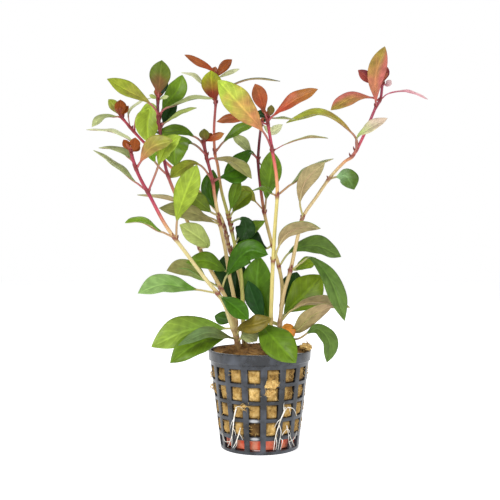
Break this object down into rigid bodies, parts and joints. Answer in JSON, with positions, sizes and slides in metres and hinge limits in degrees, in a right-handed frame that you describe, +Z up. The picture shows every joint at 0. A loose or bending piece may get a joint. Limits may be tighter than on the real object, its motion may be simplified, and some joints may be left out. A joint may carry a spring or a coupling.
{
  "type": "potted rubin ludwigia repens",
  "caption": "Bunch of red-tipped ludwigia stems with paired green, olive and bronze leaves, rooted in mineral wool in a small black net pot.",
  "frame": {"origin": "centre of the pot's base, on the surface that it stands on", "axes": "+Z up along the pot's axis, -Y towards the front, +X to the right of the front view"},
  "size_m": [0.1732, 0.0625, 0.2031],
  "materials": {
    "pot_plastic": "satin",
    "mineral_wool": "matte",
    "fired_clay": "matte",
    "stem": "satin",
    "leaf": "satin",
    "root": "satin"
  },
  "bodies": {
    "root": {"clay_ring": "fired_clay", "leaf_a_high_left": "leaf", "leaf_a_high_right": "leaf", "leaf_a_low_left": "leaf", "leaf_a_low_right": "leaf", "leaf_a_mid_left": "leaf", "leaf_a_mid_right": "leaf", "leaf_a_top_right": "leaf", "leaf_b_high_back": "leaf", "leaf_b_high_left": "leaf", "leaf_b_high_right": "leaf", "leaf_b_low_left": "leaf", "leaf_b_low_right": "leaf", "leaf_b_top": "leaf", "leaf_b_upper_left": "leaf", "leaf_base_brown": "leaf", "leaf_base_front": "leaf", "leaf_base_left_lower": "leaf", "leaf_base_left_upper": "leaf", "leaf_base_right": "leaf", "leaf_c_hanging": "leaf", "leaf_c_low_right": "leaf", "leaf_centre_big": "leaf", "leaf_d_high_hanging": "leaf", "leaf_d_high_right": "leaf", "leaf_d_low_left": "leaf", "leaf_d_mid_left": "leaf", "leaf_d_mid_right": "leaf", "leaf_e_high_right": "leaf", "leaf_e_top_front": "leaf", "leaf_f_big_left": "leaf", "leaf_f_high_right": "leaf", "leaf_f_low_right": "leaf", "leaf_f_mid_right": "leaf", "leaf_f_tip_right": "leaf", "leaf_f_tip_up": "leaf", "leaf_g_low_right": "leaf", "leaf_g_mid_right": "leaf", "leaf_h_base_olive": "leaf", "leaf_h_base_tan": "leaf", "leaf_h_high_left": "leaf", "leaf_h_high_right": "leaf", "leaf_h_low_right": "leaf", "leaf_h_mid_right": "leaf", "leaf_h_mid_up": "leaf", "leaf_h_top_left": "leaf", "leaf_h_top_up": "leaf", "net_pot": "pot_plastic", "rockwool_plug": "mineral_wool", "root_left": "root", "root_middle": "root", "root_right": "root", "stem_a": "stem", "stem_b": "stem", "stem_c": "stem", "stem_d": "stem", "stem_e": "stem", "stem_f": "stem", "stem_g": "stem", "stem_h": "stem"}
  },
  "joints": []
}
